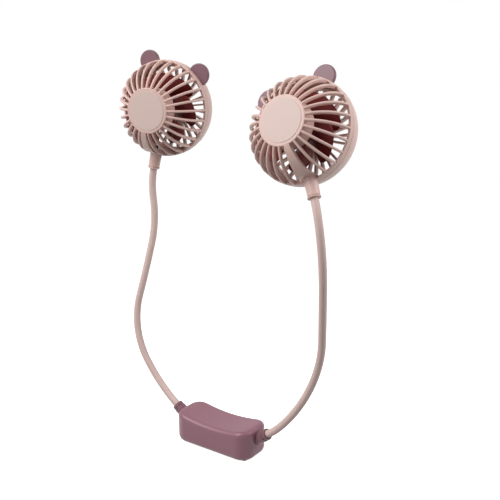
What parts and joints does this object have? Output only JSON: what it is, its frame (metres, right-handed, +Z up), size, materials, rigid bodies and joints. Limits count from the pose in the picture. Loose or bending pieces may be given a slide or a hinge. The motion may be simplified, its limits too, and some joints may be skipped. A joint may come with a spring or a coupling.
{
  "type": "electric neck fan",
  "caption": "Fan worn round the neck: a curved power pack at the nape, flexible arms and round ribbed fan heads with small disc ears.",
  "frame": {"origin": "middle of the hollow on top of the power pack, where it lies on the nape", "axes": "+X to the right-hand arm, -Y to the front where the fans face, +Z up along the arms"},
  "size_m": [0.2291, 0.0793, 0.3281],
  "materials": {
    "case_mauve": "fine satin moulding",
    "trim_mauve": "fine satin moulding",
    "shell_pink": "smooth satin moulding",
    "skin_silicone": "smooth matt silicone",
    "fan_burgundy": "glossy moulding",
    "core_steel": "wound steel",
    "screw_steel": "turned steel",
    "inlet_steel": "drawn nickel-plated steel",
    "motor_steel": "drawn steel can",
    "cell_foil": "laminated foil pouch",
    "tab_metal": "thin metal strip",
    "foam": "closed foam",
    "board_green": "solder mask",
    "part_black": "moulded component bodies",
    "light_clear": "clear moulding",
    "lead_black": "sheathed motor lead"
  },
  "bodies": {
    "power_pack": {"case_tub": "case_mauve", "nape_cover": "case_mauve", "case_screws": "screw_steel", "battery_cell": "cell_foil", "cell_pad": "foam", "cell_tabs": "tab_metal", "circuit_board": "board_green", "board_parts": "part_black", "button_switch": "part_black", "charge_inlet": "inlet_steel", "charge_lights": "light_clear", "left_gland": "trim_mauve", "left_core_1": "core_steel", "left_skin": "skin_silicone", "left_lead": "lead_black", "right_gland": "trim_mauve", "right_core_1": "core_steel", "right_skin": "skin_silicone", "right_lead": "lead_black"},
    "button": {"power_button": "trim_mauve"},
    "left_arm_2": {"left_core_2": "core_steel"},
    "left_arm_3": {"left_core_3": "core_steel"},
    "left_arm_4": {"left_core_4": "core_steel"},
    "left_arm_5": {"left_core_5": "core_steel"},
    "left_head": {"left_core_6": "core_steel", "left_front_grille": "shell_pink", "left_face_cap": "shell_pink", "left_rear_shell": "shell_pink", "left_rear_grille": "shell_pink", "left_ears": "trim_mauve", "left_neck": "shell_pink", "left_neck_bead": "shell_pink", "left_motor": "motor_steel", "left_motor_plate": "part_black"},
    "left_impeller": {"left_shaft": "motor_steel", "left_impeller": "fan_burgundy"},
    "right_arm_2": {"right_core_2": "core_steel"},
    "right_arm_3": {"right_core_3": "core_steel"},
    "right_arm_4": {"right_core_4": "core_steel"},
    "right_arm_5": {"right_core_5": "core_steel"},
    "right_head": {"right_core_6": "core_steel", "right_front_grille": "shell_pink", "right_face_cap": "shell_pink", "right_rear_shell": "shell_pink", "right_rear_grille": "shell_pink", "right_ears": "trim_mauve", "right_neck": "shell_pink", "right_neck_bead": "shell_pink", "right_motor": "motor_steel", "right_motor_plate": "part_black"},
    "right_impeller": {"right_shaft": "motor_steel", "right_impeller": "fan_burgundy"}
  },
  "joints": [
    {"name": "left_spread", "type": "hinge", "parent": "power_pack", "child": "left_arm_2", "pos_m": [-0.05929, -0.00012, 0.00959], "axis": [0, -1, 0], "range_deg": [-4, 25], "deforming": ["left_skin", "left_lead"]},
    {"name": "left_swing", "type": "hinge", "parent": "left_arm_2", "child": "left_arm_3", "pos_m": [-0.08171, -0.00102, 0.03631], "axis": [1, 0, 0], "range_deg": [-20, 25], "deforming": ["left_skin", "left_lead"]},
    {"name": "left_bow", "type": "hinge", "parent": "left_arm_3", "child": "left_arm_4", "pos_m": [-0.09235, 0.0038, 0.09361], "axis": [0, -1, 0], "range_deg": [-4, 25], "deforming": ["left_skin", "left_lead"]},
    {"name": "left_reach", "type": "hinge", "parent": "left_arm_4", "child": "left_arm_5", "pos_m": [-0.08472, 0.01323, 0.14004], "axis": [1, 0, 0], "range_deg": [-25, 30], "deforming": ["left_skin", "left_lead"]},
    {"name": "left_nod", "type": "hinge", "parent": "left_arm_5", "child": "left_head", "pos_m": [-0.08469, 0.01712, 0.17966], "axis": [1, 0, 0], "range_deg": [-35, 35], "deforming": ["left_skin", "left_lead"]},
    {"name": "left_spin", "type": "hinge", "parent": "left_head", "child": "left_impeller", "pos_m": [-0.07217, 0.02209, 0.25715], "axis": [-0.1761, 0.9844, 0.0066], "continuous": true},
    {"name": "right_spread", "type": "hinge", "parent": "power_pack", "child": "right_arm_2", "pos_m": [0.05897, 0.00012, 0.00997], "axis": [0, 1, 0], "range_deg": [-4, 25], "deforming": ["right_skin", "right_lead"]},
    {"name": "right_swing", "type": "hinge", "parent": "right_arm_2", "child": "right_arm_3", "pos_m": [0.0797, 0.00162, 0.038], "axis": [1, 0, 0], "range_deg": [-20, 25], "deforming": ["right_skin", "right_lead"]},
    {"name": "right_bow", "type": "hinge", "parent": "right_arm_3", "child": "right_arm_4", "pos_m": [0.09903, -0.00432, 0.09387], "axis": [0, 1, 0], "range_deg": [-4, 25], "deforming": ["right_skin", "right_lead"]},
    {"name": "right_reach", "type": "hinge", "parent": "right_arm_4", "child": "right_arm_5", "pos_m": [0.10576, -0.0169, 0.1397], "axis": [1, 0, 0], "range_deg": [-25, 30], "deforming": ["right_skin", "right_lead"]},
    {"name": "right_nod", "type": "hinge", "parent": "right_arm_5", "child": "right_head", "pos_m": [0.10606, -0.02304, 0.17904], "axis": [1, 0, 0], "range_deg": [-35, 35], "deforming": ["right_skin", "right_lead"]},
    {"name": "right_spin", "type": "hinge", "parent": "right_head", "child": "right_impeller", "pos_m": [0.07704, -0.00089, 0.24807], "axis": [0.0092, 0.9443, -0.3291], "continuous": true},
    {"name": "button_press", "type": "slide", "parent": "power_pack", "child": "button", "axis": [0, -1, 0], "range_m": [0, 0.0006], "stiffness_N_per_m": 1200, "springref_m": -0.0005}
  ]
}
